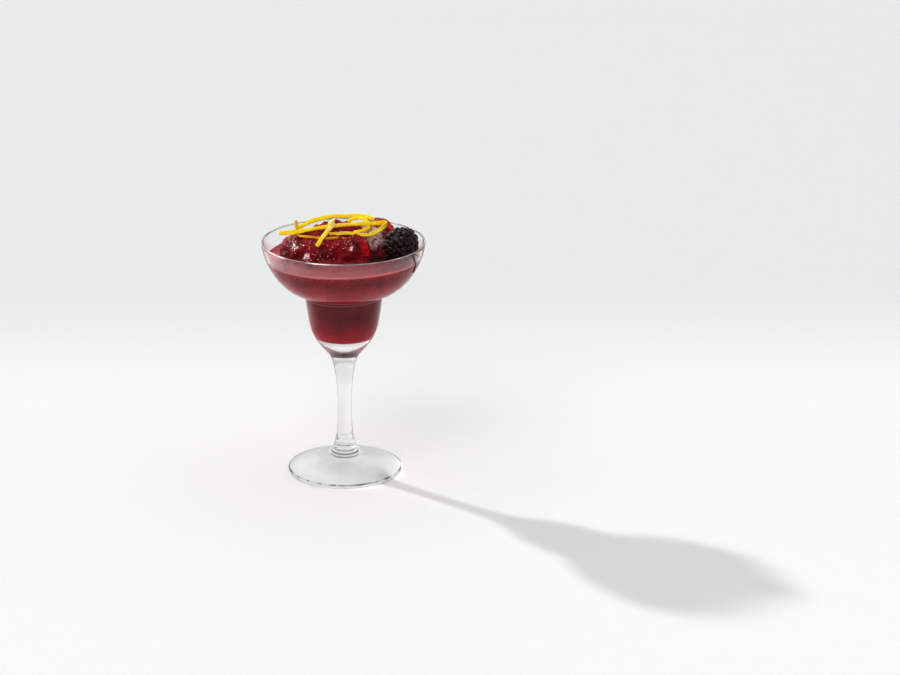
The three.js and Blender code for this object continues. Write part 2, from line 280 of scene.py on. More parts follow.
# The outline shows below the cup's floor and above the drink, and has a share of its own on the foot.
EMPTY_BELOW = (99, 103, 1, 0)
EMPTY_ABOVE = (150, 158)
FOOT_TOP = (10, 15)


def see_through(look, share):
    """Plain clearness, without any bending; the share is one number or a node's output."""
    clear = look.add("ShaderNodeBsdfTransparent")
    look.feed(clear.inputs["Color"], (share, share, share) if isinstance(share, float) else share)
    return clear.outputs[0]


def glassy(name, face_on, slanted, slant_start, outline=None, **sockets):
    """Glass of two tones; an outline is its darkness, the slant where it starts, and its share on the foot."""
    look = Finish(name, face_on, IOR=1.5, **sockets)
    facing = look.add("ShaderNodeLayerWeight", Blend=0.5).outputs["Facing"]
    look.give("Base Color", look.mixed(look.spread(facing, slant_start, FULL_SLANT), face_on, slanted))
    surface = look.shader.outputs[0]
    if outline:
        darkness, line_start, foot_share = outline
        off_foot = look.along("Z", *FOOT_TOP, foot_share, 1)
        empty_low = look.math("MULTIPLY", look.along("Z", *EMPTY_BELOW), off_foot)
        empty = look.math("ADD", empty_low, look.along("Z", *EMPTY_ABOVE))
        line = look.math("MULTIPLY", look.spread(facing, line_start, 0.97, 0, darkness), empty)
        surface = look.add("ShaderNodeMixShader", line, surface, see_through(look, LINE_CLEARNESS)).outputs[0]
    share = look.along("Z", *FOOT_CLEARNESS)
    for low, high, change in CLEARNESS_CHANGES:
        share = look.math("ADD", share, look.along("Z", low, high, 0, change))
    shadow = look.add("ShaderNodeLightPath").outputs["Is Shadow Ray"]
    surface = look.add("ShaderNodeMixShader", shadow, surface, see_through(look, share)).outputs[0]
    look.feed(look.nodes["Material Output"].inputs["Surface"], surface)
    return look


# %% [markdown]
# The thick bottom of the cup and the top of the stem gather light, so a soft band of painted glow is put
# there. The rings at the stem's joint are painted as dark lines, standing in for the dark lines that bent
# light makes there. The underside of the foot is a little rubbed, with a faint painted glow. The foot's
# edge has painted dashes of dark and light and painted shade along its bottom, and the fire-polished lip is
# painted pale as a highlight, with painted streaks and a bright run on the left that glows.

# %% Finishes for the parts of the glass
CLEAR = {"Transmission_Weight": 1.0, "Roughness": 0.0, "Emission_Color": (1, 1, 1, 1)}
CLEAR_TONE = (0.98, 0.98, 0.98)
# Middle of the painted bright run on the lip, in millimetres.
PAINTED_HIGHLIGHT_SPOT = (-29, -47, 167.5)

clear_glass = glassy("clear_glass", (0.985, 0.987, 0.986), (0.85, 0.85, 0.855), 0.9, (0.75, 0.82, 0), **CLEAR)
# Painted glow in soft bands: in the cup's thick bottom here, and in the stem's top below.
clear_glass.give("Emission Strength", clear_glass.banded(96.2, 3.6, 0.18))
glass_stem = glassy("glass_stem", (0.962, 0.964, 0.963), (0.28, 0.28, 0.285), 0.64, (0.45, 0.62, 0), **CLEAR)
glass_stem.give("Emission Strength", glass_stem.banded(84.8, 2.8, 0.11))
# Painted shade: the rings are dark glass, standing in for the dark lines that bent light makes there.
glass_rings = glassy("glass_rings", (0.14, 0.14, 0.14), (0.04, 0.04, 0.04), 0.25, **CLEAR)
# The rubbed underside also has a faint painted glow.
foot_underside = glassy("foot_underside", (0.985, 0.985, 0.987), (0.9, 0.9, 0.9), 0.62, Roughness=0.2,
                        Transmission_Weight=0.5, Emission_Color=(1, 1, 1, 1), Emission_Strength=0.05)

glass_edge = glassy("glass_edge", CLEAR_TONE, (0.16, 0.16, 0.165), 0.3, (0.5, 0.5, 1.0), **CLEAR)
# Painted dashes of dark and light round the foot's edge, as the bent and mirrored light, and painted shade
# along its bottom.
painted_dashes = glass_edge.spread(glass_edge.clouds(130, 3), 0.40, 0.56, 0.3, 0.95)
painted_dashes = glass_edge.math("MULTIPLY", glass_edge.banded(2.6, 0.95, 1.4), painted_dashes)
tone = glass_edge.mixed(painted_dashes, CLEAR_TONE, (0.06, 0.045, 0.045))
glass_edge.give("Base Color", glass_edge.mixed(glass_edge.banded(0, 0.7, 0.6), tone, (0.25, 0.24, 0.24)))

# The lip is painted pale as a highlight: grey and white painted streaks, a painted dark line round it, and a
# painted bright run on the front left that glows.
glass_lip = glassy("glass_lip", (0.80, 0.80, 0.805), (0.5, 0.5, 0.5), 0.6, Transmission_Weight=0.3,
                   Roughness=0.12, Emission_Color=(1, 1, 1, 1))
highlight_streaks = glass_lip.clouds(75, 4)
tone = glass_lip.mixed(glass_lip.spread(highlight_streaks, 0.42, 0.6), (0.52, 0.50, 0.51), (0.98, 0.97, 0.97))
tone = glass_lip.mixed(glass_lip.banded(167.15, 0.35), tone, (0.16, 0.13, 0.135))
painted_highlight = glass_lip.math("MULTIPLY", glass_lip.near(PAINTED_HIGHLIGHT_SPOT, 12, 30),
                            glass_lip.spread(highlight_streaks, 0.40, 0.55))
glass_lip.give("Base Color", glass_lip.mixed(painted_highlight, tone, (1.0, 1.0, 1.0)))
glass_lip.give("Emission Strength", glass_lip.math("MULTIPLY", painted_highlight, 0.35))
glass_parts = [clear_glass, glass_lip, glass_rings, foot_underside, glass_stem, glass_edge]
print("glass finishes:", [look.material.name for look in glass_parts])

# %% [markdown]
# ## The glass
# A stepped margarita glass: a wide bowl over a small cup, a drawn stem with two rings at its joint, and a
# flat foot. It is turned from one outline, so foot, stem, cup and lip are one closed wall of glass, as if
# blown. The numbers are the CAD model's own, with more steps on each curve, because bent light shows every
# facet. An operator works on whatever is selected, and the loaded CAD nodes all are, so every step starts
# with nothing selected. A turned piece starts as a single point, which is extruded along its outline and
# spun about Z.

# %% Selecting, and turning an outline
def alone(piece=None):
    """Leaves edit mode and selects one piece, or nothing."""
    if bpy.context.mode != "OBJECT":
        bpy.ops.object.mode_set(mode="OBJECT")
    bpy.ops.object.select_all(action="DESELECT")
    if piece:
        piece.select_set(True)
        bpy.context.view_layer.objects.active = piece


def smooth(piece):
    """Smooth shading on one piece, and a line that says what was made."""
    alone(piece)
    bpy.ops.object.shade_smooth()
    print(piece.name, "has", len(piece.data.polygons), "faces")


def turned(name, outline, steps):
    """A closed solid, spun from an outline of (radius, height) points in millimetres."""
    alone()
    bpy.ops.mesh.primitive_plane_add(size=MM)
    piece = bpy.context.object
    piece.name = name
    bpy.ops.object.mode_set(mode="EDIT")
    bpy.ops.mesh.merge(type="CENTER")
    bpy.ops.transform.translate(value=(outline[0][0] * MM, 0, outline[0][1] * MM))
    for before, after in zip(outline, outline[1:]):
        step = ((after[0] - before[0]) * MM, 0, (after[1] - before[1]) * MM)
        bpy.ops.mesh.extrude_region_move(TRANSFORM_OT_translate={"value": step})
    bpy.ops.mesh.select_all(action="SELECT")
    bpy.ops.mesh.spin(steps=steps, angle=2 * pi, center=(0, 0, 0), axis=(0, 0, 1))
    bpy.ops.mesh.select_all(action="SELECT")
    bpy.ops.mesh.remove_doubles(threshold=0.01 * MM)
    bpy.ops.mesh.normals_make_consistent(inside=False)
    bpy.ops.object.mode_set(mode="OBJECT")
    bpy.ops.object.shade_smooth_by_angle(angle=radians(50))
    print(name, "has", len(piece.data.polygons), "faces")
    return piece


def belongs(piece, slot, *nodes_replaced):
    """The piece rides on the only body and hides the solids it stands for; its slot is not used."""
    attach(piece, "root")
    if nodes_replaced:
        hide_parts(*nodes_replaced)


# %% Outline of the glass
RIM_RADIUS = 56.5
GLASS_HEIGHT = 167.8
LIP_WALL = 1.4
CUP_FLOOR = 99.3
BOWL_STEPS = 28
STEP_STEPS = 6


def bend(p0, p1, p2, p3, steps):
    """Points on a cubic curve in the (radius, height) half plane, without its first point."""
    points = []
    for i in range(1, steps + 1):
        t = i / steps
        s = 1 - t
        points.append(tuple(s ** 3 * a + 3 * s * s * t * b + 3 * s * t * t * c + t ** 3 * d
                            for a, b, c, d in zip(p0, p1, p2, p3)))
    return points


def arc(centre, radius, start, end, steps):
    """Points on a circular arc in the half plane, angles in degrees from the outward direction."""
    angles = [radians(start + (end - start) * i / steps) for i in range(steps + 1)]
    return [(centre[0] + radius * cos(a), centre[1] + radius * sin(a)) for a in angles]


foot_outline = [(0, 1), (10, 0.9), (21, 0.6), (27, 0.25), (30, 0), *arc((38.5, 1.5), 1.5, -90, 75, 10),
                *bend((38.5, 3), (26, 5.6), (16, 7), (10.6, 10.4), 14)]
ring_outline = [*bend((10.6, 10.4), (10.3, 10.7), (9.9, 11.3), (9.8, 12.2), 3),
                *bend((9.8, 12.2), (9.7, 13.2), (9.3, 13.6), (8.6, 13.8), 4),
                *bend((8.6, 13.8), (8.9, 14.2), (8.9, 15.2), (8.3, 15.7), 4),
                *bend((8.3, 15.7), (7.9, 16.0), (8.1, 17), (8.0, 17.8), 3)]
stem_outline = [*bend((8, 17.8), (5.6, 25), (4.85, 32), (4.85, 47.7), 16),
                *bend((4.85, 47.7), (4.85, 65.9), (7.3, 82.6), (11.2, 86.9), 20)]
cup_outline = [*bend((11.2, 86.9), (24.6, 101.8), (23.4, 104), (26.95, 128.4), 24),
               *bend((26.95, 128.4), (27.15, 130), (27.5, 130.85), (29.6, 131.25), STEP_STEPS),
               *bend((29.6, 131.25), (42.3, 133.8), (53.95, 149), (56.5, 167.1), BOWL_STEPS)]
lip_outline = arc((RIM_RADIUS - LIP_WALL / 2, GLASS_HEIGHT - LIP_WALL / 2), LIP_WALL / 2, 18, 180, 9)
hollow_outline = [*bend((55.1, 167.1), (52.25, 149.4), (41.2, 135.7), (29, 133.1), BOWL_STEPS),
                  *bend((29, 133.1), (26.4, 132.7), (25.2, 130.4), (25, 128.6), STEP_STEPS),
                  *bend((25, 128.6), (22.5, 108), (21.5, CUP_FLOOR), (0, CUP_FLOOR), 24)]
glass_outline = foot_outline + ring_outline + stem_outline + cup_outline + lip_outline + hollow_outline
print("outline points:", len(glass_outline))

# %% Turn the glass
GLASS_STEPS = 144
LIP_HEIGHT = GLASS_HEIGHT - 0.75
RINGS = (11.7, 13.7, 16.0)
RING_LINE = 0.45
SOLE_HEIGHT = 1.2
SOLE_RADIUS = 37.5
FOOT_HEIGHT = 4
FOOT_EDGE = 38.4
STEM_TOP = 86.5


def glass_part(face):
    """The finish that a face of the glass has, told by where the face is."""
    height, out = face.center.z / MM, Vector(face.center[:2]).length / MM
    if height > LIP_HEIGHT:
        return glass_lip
    if any(abs(height - ring) < RING_LINE for ring in RINGS):
        return glass_rings
    if height < SOLE_HEIGHT and out < SOLE_RADIUS:
        return foot_underside
    if height < FOOT_HEIGHT and out > FOOT_EDGE:
        return glass_edge
    return glass_stem if height < STEM_TOP else clear_glass


glass = turned("stem_glass", glass_outline, GLASS_STEPS)
for look in glass_parts:
    glass.data.materials.append(look.material)
for face in glass.data.polygons:
    face.material_index = glass_parts.index(glass_part(face))
belongs(glass, "clear_glass", "glass")

# %% [markdown]
# ## The drink
# A blended ice drink: smooth against the glass, uneven on top, and filling the whole cup and bowl up to its
# level. It is turned from the inside of the glass moved a hair into the wall, so that no line of air shows
# between them. Its top is dense enough for fine relief, climbs a little at the wall, and runs on under the
# heaped slush.

# %% Shape of the drink
LEVEL = 157.4
LEVEL_RISE_RIGHT = 0.9
LEVEL_RISE_BACK = -0.1
INTO_WALL = 0.06
TOP_RINGS = 56
DRINK_STEPS = 192
TOP_LUMPS, TOP_SWELL = 0.9, 0.35
CLIMB, CLIMB_WIDTH = 0.55, 1.6
AT_WALL = 0.999


def radius_at(height, outline):
    """Radius of a stretch of outline at a height, in millimetres."""
    points = sorted((z, r) for r, z in outline)
    return float(np.interp(height, [z for z, r in points], [r for z, r in points]))


bowl_inside = hollow_outline[:BOWL_STEPS + STEP_STEPS]
brim = radius_at(LEVEL, bowl_inside) + INTO_WALL
drink_outline = [(brim * i / TOP_RINGS, LEVEL) for i in range(TOP_RINGS + 1)]
drink_outline += [(r + INTO_WALL, z) for r, z in hollow_outline if z < LEVEL - 0.5 and r > 0.01]
drink_outline += [(0, CUP_FLOOR - INTO_WALL)]
drink = turned("frozen_drink", drink_outline, DRINK_STEPS)

for vertex in drink.data.vertices:
    if vertex.co.z > (LEVEL - 0.01) * MM:
        x, y = vertex.co.x / MM, vertex.co.y / MM
        far = (x * x + y * y) ** 0.5 / brim
        lift = LEVEL_RISE_RIGHT * x / brim + LEVEL_RISE_BACK * y / brim
        lift += TOP_LUMPS * min(1, (1 - far) * 14) * noise.fractal(Vector((x, y, 3)) / 7, 0.8, 2.1, 4)
        lift += CLIMB * max(0, 1 - (1 - far) * brim / CLIMB_WIDTH) ** 2
        lift += TOP_SWELL * noise.noise(Vector((x / 9, y / 9, 8)))
        scale = (radius_at(LEVEL + lift, bowl_inside) + INTO_WALL) / (far * brim) if far > AT_WALL else 1
        vertex.co = (vertex.co.x * scale, vertex.co.y * scale, (LEVEL + lift) * MM)
print("brim radius", round(brim, 2), "mm")

# %% [markdown]
# ## Finish of the drink
# Crushed fruit and ice: a deep wine red that lets a little light sink in and come out redder, with fine
# pale specks of ice. Against the glass it has no shine of its own, because there is no air between them.
# There light and shade are painted into its tone by height: a bright line of painted light at the level,
# painted shade just below it, painted warm light low in the bowl, painted pale highlights along the step,
# and painted shade darkest half way down the cup. These are soft bands by height, the wide ones stirred by
# a slow pattern. The back half of its underside is painted grey, for the tone that the thick glass below
# gathers into a band. On top the drink is wet, with painted shadow where the slush and the berry shade it,
# and painted light on the left.

# %% Specks in a red body
RED_LIGHT = {"Subsurface_Weight": 0.7, "Subsurface_Scale": 0.004, "Subsurface_Radius": (1.0, 0.1, 0.08)}
SPECKS_FADE = 20


def speckled(name, dark, light, speck, grain, fewer_below=None, **sockets):
    """Two tones in slow patches, with fine specks of a third over them: the finish, and its colour so far."""
    look = Finish(name, dark, **sockets)
    cells = look.add("ShaderNodeTexVoronoi", look.place, Scale=grain)
    chance = look.add("ShaderNodeSeparateColor", cells.outputs["Color"]).outputs[0]
    size = look.spread(cells.outputs["Distance"], 0.1, 0.45, 1, 0)
    share = look.math("MULTIPLY", look.spread(chance, 0.35, 0.8), size)
    if fewer_below:
        share = look.math("MULTIPLY", share, look.along("Z", fewer_below - SPECKS_FADE, fewer_below, 0.2, 1))
    return look, look.mixed(share, look.clouded(90, 3, dark, light), speck)


# %% The drink against the glass
PALE, DEEP, LEVEL_LIGHT, WARM = (0.95, 0.60, 0.63), (0.12, 0.003, 0.010), (0.97, 0.50, 0.54), (0.95, 0.07, 0.11)
PAINTED_GREY, WARM_PALE = (0.25, 0.18, 0.19), (0.95, 0.33, 0.36)
# Height and half width in millimetres, share and tone of each band of painted light and shade.
LIGHT_AND_SHADE_BANDS = [(LEVEL + 0.1, 1.7, 1.0, LEVEL_LIGHT), (150.5, 8, 0.28, DEEP), (140, 10, 0.4, WARM), (132.6, 2.6, 1.0, PALE),
         (128.4, 0.45, 0.75, PALE), (120, 17, 0.50, DEEP)]
WIDE_BAND = 5
STIR = 0.008
# Spots on the cup's sides where light comes through the drink, and the share of the paler tone there.
CUP_SIDES = [((-27, -6, 118), 0.55), ((27, -6, 120), 0.25)]

drink_side, color = speckled("drink_against_glass", (0.45, 0.010, 0.033), (0.60, 0.018, 0.046),
                             (0.97, 0.40, 0.44), 1250, 153, Roughness=0.5, Specular_IOR_Level=0.0, **RED_LIGHT)
level_way = [-LEVEL_RISE_RIGHT / brim, -LEVEL_RISE_BACK / brim, 1]
level_up = drink_side.add("ShaderNodeVectorMath", drink_side.place, level_way, operation="DOT_PRODUCT")
level_up = level_up.outputs["Value"]
stir = drink_side.spread(drink_side.clouds(55, 5, 0.65), 0, 1, -STIR, STIR)
stirred = drink_side.math("ADD", level_up, stir)
for height, width, share, tone in LIGHT_AND_SHADE_BANDS:
    source = stirred if width > WIDE_BAND else level_up
    color = drink_side.mixed(drink_side.banded(height, width, share, source), color, tone)
# Painted grey on the back of the underside, for the tone that the thick glass below gathers.
underneath = drink_side.math("MULTIPLY", drink_side.near((0, 0, CUP_FLOOR), 15.5, 19.5),
                             drink_side.along("Y", 0, 10))
color = drink_side.mixed(underneath, color, PAINTED_GREY)
for spot, share in CUP_SIDES:
    color = drink_side.mixed(drink_side.near(spot, 3, 15, share), color, WARM_PALE)
drink_side.give("Base Color", color)
print("the drink's side has", len(LIGHT_AND_SHADE_BANDS), "bands and", len(drink_side.nodes), "nodes")

# %% The drink's top
# Spot, inner and outer distance in millimetres, share and tone of each change on the top: painted shadow of
# the slush and the berry, painted shade at the right front, and painted light on the left.
TOP_LIGHT_AND_SHADE = [((26, -14, 158), 7, 14.5, 1, (0.05, 0.001, 0.004)),
             ((40, -36, 157), 6, 24, 0.7, (0.13, 0.035, 0.045)),
             ((-48, -6, 158), 5, 17, 0.75, (0.90, 0.30, 0.30))]
TOP_BAND = 2.5

drink_top, color = speckled("drink_top", (0.33, 0.038, 0.052), (0.44, 0.055, 0.075), (0.72, 0.22, 0.25), 1200,
                            Roughness=0.4, Specular_IOR_Level=0.3, **RED_LIGHT)
for spot, inner, outer, share, tone in TOP_LIGHT_AND_SHADE:
    color = drink_top.mixed(drink_top.near(spot, inner, outer, share), color, tone)
drink_top.give("Base Color", color)
drink_top.bumped(drink_top.clouds(1400, 4), 0.5, 0.4)

for look in (drink_side, drink_top):
    drink.data.materials.append(look.material)
for face in drink.data.polygons:
    face.material_index = int(face.center.z > (LEVEL - TOP_BAND) * MM and face.normal.z > 0.2)
belongs(drink, "drink", "drink")
print("the drink's top has", len(drink_top.nodes), "nodes")

# %% [markdown]
# ## A painted haze on the glass
# A pale sheet inside the bowl paints the light haze seen through the glass from the drink's level to just
# under the lip, on the front and most of all on the left. It is a very thin turned shell that lets most
# light by, and its cover is a product of what it should be along each axis.

# %% Painted haze above the level
HAZE_HEIGHTS = [157.2 + 0.9 * i for i in range(11)]
HAZE_GAP, HAZE_DEPTH = 0.04, 0.16
# Axis, two places on it in millimetres, and the painted haze's cover at both.
HAZE_COVER = [("X", -50, -22, 0.55, 0.10), ("Y", -30, 12, 1, 0), ("Z", 162.5, 166.5, 1, 0.3)]

haze_out = [(radius_at(z, bowl_inside) - HAZE_GAP, z) for z in HAZE_HEIGHTS]
haze_in = [(radius_at(z, bowl_inside) - HAZE_DEPTH, z) for z in reversed(HAZE_HEIGHTS)]
haze_sheet = turned("painted_haze_sheet", [*haze_out, *haze_in, haze_out[0]], GLASS_STEPS)
haze_look = Finish("painted_haze", (0.90, 0.50, 0.54), Roughness=0.6, Specular_IOR_Level=0.1)
clouds = haze_look.clouds(90, 4)
sides = [haze_look.along(axis, *spans) for axis, *spans in HAZE_COVER]
haze_look.give("Alpha", haze_look.math("MULTIPLY", *sides, haze_look.spread(clouds, 0.35, 0.65, 0.9, 1.15)))
haze_look.give("Base Color", haze_look.mixed(clouds, (0.92, 0.46, 0.50), (0.86, 0.56, 0.60)))
haze_sheet.data.materials.append(haze_look.material)
belongs(haze_sheet, "drink")

# %% [markdown]
# ## The heaped slush
# Three spoonfuls of firmer slush stand in the drink. The CAD solids have their places and main forms, so
# each is copied, its loose triangles are joined, and the copy is remeshed into small even faces. Then
# relief goes on from coarse to fine: soft swells, crumbly hollows, and small grain of ice. It is grown by
# the width of the gap that the solids keep from each other, so that it meets its neighbours.

# %% A copy of a CAD node, remeshed and roughened
def copied(node, name):
    """A free copy of a CAD node, its triangles joined."""
    alone(frame["nodes"][node])
    bpy.ops.object.duplicate()
    piece = bpy.context.object
    bpy.ops.object.parent_clear(type="CLEAR_KEEP_TRANSFORM")
    piece.name = name
    piece.data.materials.clear()
    bpy.ops.object.mode_set(mode="EDIT")
    bpy.ops.mesh.select_all(action="SELECT")
    bpy.ops.mesh.remove_doubles(threshold=0.005 * MM)
    bpy.ops.mesh.normals_make_consistent(inside=False)
    bpy.ops.object.mode_set(mode="OBJECT")
    return piece


def apply(piece, kind, **settings):
    """Adds a modifier, sets it up and applies it."""
    alone(piece)
    modifier = piece.modifiers.new(kind.lower(), kind)
    for key, value in settings.items():
        setattr(modifier, key, value)
    bpy.ops.object.modifier_apply(modifier=modifier.name)


def roughen(piece, kind, size, depth):
    """Relief from one of Blender's own patterns, with its size and depth in millimetres."""
    pattern = bpy.data.textures.new(f"{piece.name}_{kind}_{size}", kind)
    pattern.noise_scale = size * MM
    apply(piece, "DISPLACE", texture=pattern, texture_coords="LOCAL", strength=depth * MM, mid_level=0.5)


def swell(piece, middle, reach, lift):
    """Raises what lies near a spot, most at the spot itself; all in millimetres."""
    middle = Vector(middle)
    for vertex in piece.data.vertices:
        near_by = 1 - (vertex.co / MM - middle).length / reach
        if near_by > 0:
            vertex.co.z += lift * MM * near_by * near_by * (3 - 2 * near_by)


# %% The three lumps
SLUSH_VOXEL = 0.45
SLUSH_SMOOTHING = 18
GROWTH = 0.35
SLUSH_RELIEF = [("CLOUDS", 7, 2.6), ("VORONOI", 5.0, -1.8), ("CLOUDS", 2.4, 1.7), ("CLOUDS", 0.9, 0.4)]


def slush(node, name, *lifts):
    """A lump of slush from its solid, raised where the photograph shows it higher, and roughened."""
    piece = copied(node, name)
    apply(piece, "REMESH", mode="VOXEL", voxel_size=SLUSH_VOXEL * MM)
    apply(piece, "SMOOTH", factor=0.5, iterations=SLUSH_SMOOTHING)
    apply(piece, "DISPLACE", strength=GROWTH * MM, mid_level=0)
    for middle, reach, lift in lifts:
        swell(piece, middle, reach, lift)
    for kind, size, depth in SLUSH_RELIEF:
        roughen(piece, kind, size, depth)
    smooth(piece)
    return piece


front_slush = slush("slush_front", "front_slush", ((-22, -4, 172), 13, 4.2))
right_slush = slush("slush_right", "right_slush")
left_slush = slush("slush_left", "left_slush")

# %% [markdown]
# The slush is darker and clearer than the drink, and light sinks far into it. The warm glow where a lump
# is thin, as at the right end of the front one, is painted light. Low down, where it stands in the drink,
# it is painted paler in the drink's tone, which lifts the shade at its foot. A thin coat that follows the
# same fine relief as the body makes it wet.

# %% Slush finish
# Painted light: a glow round these spots in millimetres, and a paler tone low down that fades out between the
# SUNK heights.
PAINTED_GLOWS = [((17, -17, 168), 4, 9), ((35, 14, 176), 3, 9)]
PAINTED_GLOW_TONE, PAINTED_LIFT_TONE = (0.85, 0.006, 0.02), (0.50, 0.085, 0.10)
SUNK = (160, 162.2)

wet_slush, color = speckled(
    "wet_slush", (0.17, 0.002, 0.008), (0.41, 0.005, 0.020), (0.5, 0.02, 0.03), 900, Roughness=0.35,
    Specular_IOR_Level=0.12, Coat_Weight=0.35, Coat_Roughness=0.09, Subsurface_Weight=0.9,
    Subsurface_Scale=0.004, Subsurface_Radius=(1.0, 0.07, 0.06))
for spot, inner, outer in PAINTED_GLOWS:
    color = wet_slush.mixed(wet_slush.near(spot, inner, outer), color, PAINTED_GLOW_TONE)
wet_slush.give("Base Color", wet_slush.mixed(wet_slush.along("Z", *SUNK, 1, 0), color, PAINTED_LIFT_TONE))
wet_slush.bumped(wet_slush.clouds(650, 4, 0.55), 0.55, 0.7, "Coat Normal")
print("the slush finish has", len(wet_slush.nodes), "nodes")
for piece, node in ((front_slush, "slush_front"), (right_slush, "slush_right"), (left_slush, "slush_left")):
    piece.data.materials.append(wet_slush.material)
    belongs(piece, "slush", node)

# %% [markdown]
# ## Ice crystals and frost
# What makes slush look frozen is its glitter: small ice grains stand out of it and mirror the lamp, each
# another way. One shard is modelled and copied over the slush by chance, three times. Dark wet grains lie
# all over, more of them where the spoon broke the left shoulder open. Clear bright ones with a painted glow
# crowd the few spots that the light strikes, as painted highlights. On the right lump, which stands in the
# shade of the zest, frost has grown in fine needles, with a faint painted glow.

# %% One shard
def model_of(piece):
    """The points and faces of a modelled piece, which is then removed."""
    points = np.array([v.co for v in piece.data.vertices])
    faces = [list(p.vertices) for p in piece.data.polygons]
    bpy.data.objects.remove(piece)
    return points, faces


def copies(name, model, placed):
    """One mesh from a model set down many times; each place has three axes, already scaled, and a middle."""
    points, faces = model
    all_points = np.concatenate([points @ np.array(axes) + np.array(middle) for axes, middle in placed])
    all_faces = [[k + i * len(points) for k in face] for i in range(len(placed)) for face in faces]
    mesh = bpy.data.meshes.new(name)
    mesh.from_pydata((all_points * MM).tolist(), [], all_faces)
    piece = bpy.data.objects.new(name, mesh)
    bpy.context.scene.collection.objects.link(piece)
    print(name, "has", len(placed), "copies and", len(all_faces), "faces")
    return piece


alone()
bpy.ops.mesh.primitive_cone_add(vertices=5, radius1=0.5, radius2=0.22, depth=0.8)
shard = bpy.context.object
bpy.ops.object.mode_set(mode="EDIT")
bpy.ops.mesh.select_all(action="SELECT")
bpy.ops.mesh.quads_convert_to_tris()
bpy.ops.object.mode_set(mode="OBJECT")
shard_model = model_of(shard)

# %% Places on a piece's faces, by chance
draw = random.Random(11)


def faces_of(piece, wanted):
    """Middles and normals of a piece's faces, with a weight that says how much of the scatter falls there."""
    count = len(piece.data.polygons)
    middles, normals, areas = np.empty(count * 3), np.empty(count * 3), np.empty(count)
    piece.data.polygons.foreach_get("center", middles)
    piece.data.polygons.foreach_get("normal", normals)
    piece.data.polygons.foreach_get("area", areas)
    middles, normals = middles.reshape(-1, 3) / MM, normals.reshape(-1, 3)
    weights = areas * np.array([wanted(m, n) for m, n in zip(middles, normals)])
    return middles, normals, weights


def scatter(piece, count, wanted, size, stretch, along=None):
    """Places for small things on a piece's faces, leaning by chance or along a direction."""
    middles, normals, weights = faces_of(piece, wanted)
    places = []
    for i in draw.choices(range(len(middles)), weights=weights.tolist(), k=count):
        out = Vector(normals[i])
        lean = Vector([draw.gauss(0, 1) for _ in range(3)])
        if along:
            lean = along + 0.30 * lean
            lean -= out * lean.dot(out) * 0.75
        long_way = lean.normalized()
        side = Quaternion(long_way, draw.uniform(0, 2 * pi)) @ long_way.orthogonal().normalized()
        third = long_way.cross(side)
        scale = draw.uniform(*size)
        places.append((([*(side * scale)], [*(third * scale * draw.uniform(0.5, 1))],
                        [*(long_way * scale * stretch)]), Vector(middles[i]) + out * scale * 0.02))
    return places


# %% Where each kind lies
# Places as (x, z) in millimetres, with a reach and a strength, where the bright crystals paint the highlights.
SPARKLES = [(-33.3, 169.9, 1.6, 2.6), (-25.0, 164.1, 1.9, 4.5), (5.6, 169.4, 1.2, 4.0), (-16, 163.5, 5, 0.15),
            (-5, 162, 6, 0.06), (-20, 171, 3, 0.2), (2.4, 173, 4, 0.12), (-36, 173, 5, 0.2)]
FEW = 0.006
FROST_MIDDLE = (19, 169)
FROST_REACH = 11
NEEDLES_POINT = Vector((0.55, -0.3, -0.8))


def on_shoulder(middle, normal):
    """All over what faces up, and twice as much on the broken left shoulder."""
    return max(0, normal[2] + 0.45) * (2.0 if middle[0] < -22 else 1.0) * (middle[2] > 161.5)


def above_drink(middle, normal):
    """Evenly over what faces up, above the drink."""
    return max(0, normal[2] + 0.3) * (middle[2] > LEVEL)


def sparkling(middle, normal):
    """Most round the spots where the light strikes, and a few elsewhere in front."""
    if normal[1] > 0.1 or middle[2] < 160:
        return 0.0
    return FEW + sum(share * exp(-((middle[0] - x) ** 2 + (middle[2] - z) ** 2) / reach ** 2)
                     for x, z, reach, share in SPARKLES)


def frosted(middle, normal):
    """Most in the middle of the lump's shaded face, and torn by chance."""
    away = Vector((middle[0] - FROST_MIDDLE[0], middle[2] - FROST_MIDDLE[1])).length
    torn = max(0.1, 1 + 1.8 * noise.noise(Vector(middle) / 2.5))
    shaded = normal[1] < -0.05 and away < FROST_REACH and middle[2] > 161
    return float(shaded) * max(0.03, 1 - away / 10) * torn


# %% Scatter the shards
# Each kind: its name, then slush, number, where, sizes, stretch and direction for each scatter of it.
ICE = [
    ("ice_shards", (front_slush, 1500, on_shoulder, (0.2, 0.7), 0.8),
     (right_slush, 500, above_drink, (0.2, 0.7), 0.8), (left_slush, 500, above_drink, (0.2, 0.7), 0.8)),
    ("ice_crystals", (front_slush, 380, sparkling, (0.18, 0.8), 0.8),
     (right_slush, 60, above_drink, (0.14, 0.4), 0.9), (left_slush, 50, above_drink, (0.14, 0.4), 0.9)),
    ("frost_needles", (right_slush, 3400, frosted, (0.12, 0.22), 12, NEEDLES_POINT)),
]
